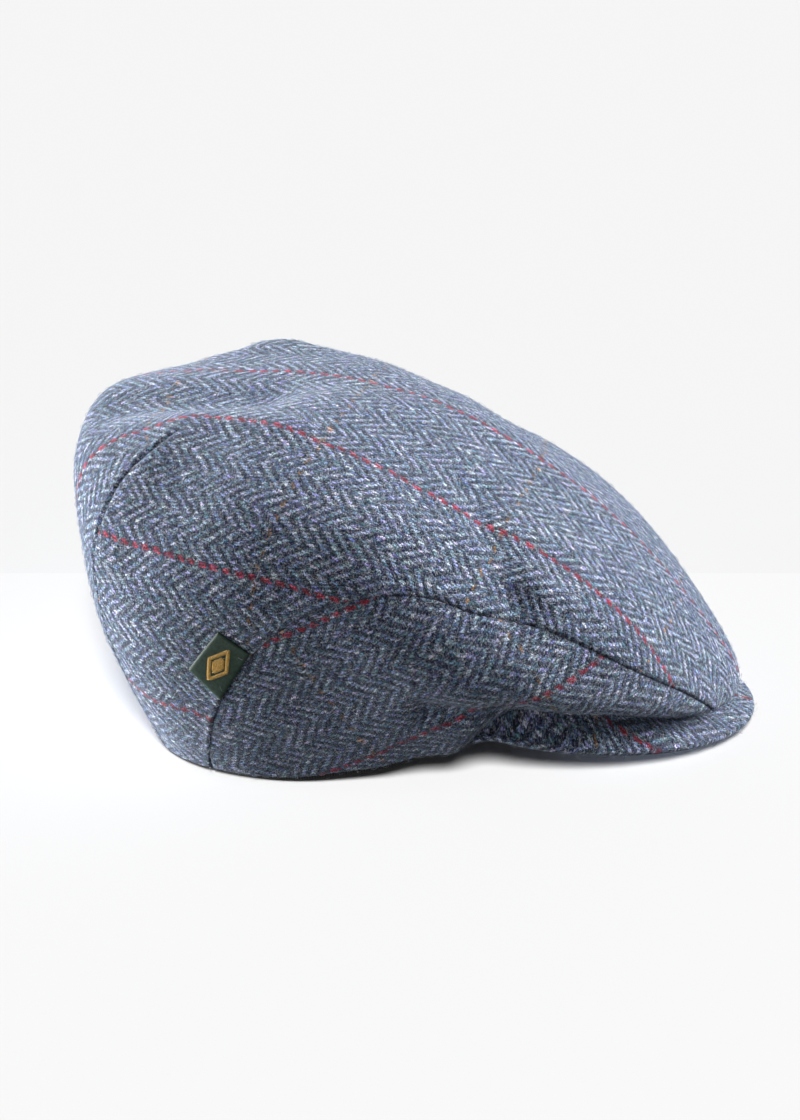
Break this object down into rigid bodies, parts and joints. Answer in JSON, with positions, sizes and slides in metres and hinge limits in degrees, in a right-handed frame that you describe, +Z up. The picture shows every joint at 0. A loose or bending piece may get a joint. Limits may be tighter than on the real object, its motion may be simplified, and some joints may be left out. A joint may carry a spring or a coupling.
{
  "type": "flat cap",
  "caption": "Soft tweed flat cap with a darted crown, sewn side panels, a stiff curved peak, an inner sweatband and a small woven label; worn on the head.",
  "frame": {"origin": "on the surface that the cap lies on, below the middle of its length", "axes": "+X towards the peak, +Y to the wearer's left, +Z up"},
  "size_m": [0.2709, 0.2028, 0.1393],
  "materials": {
    "tweed": "blue herringbone wool with a red and ochre overcheck",
    "band_cotton": "black ribbed cotton",
    "label_weave": "dark green damask weave with a plain gold device"
  },
  "bodies": {
    "root": {"crown": "tweed", "side_panel_right": "tweed", "side_panel_left": "tweed", "peak": "tweed", "sweatband": "band_cotton", "label_tab": "label_weave"}
  },
  "joints": []
}
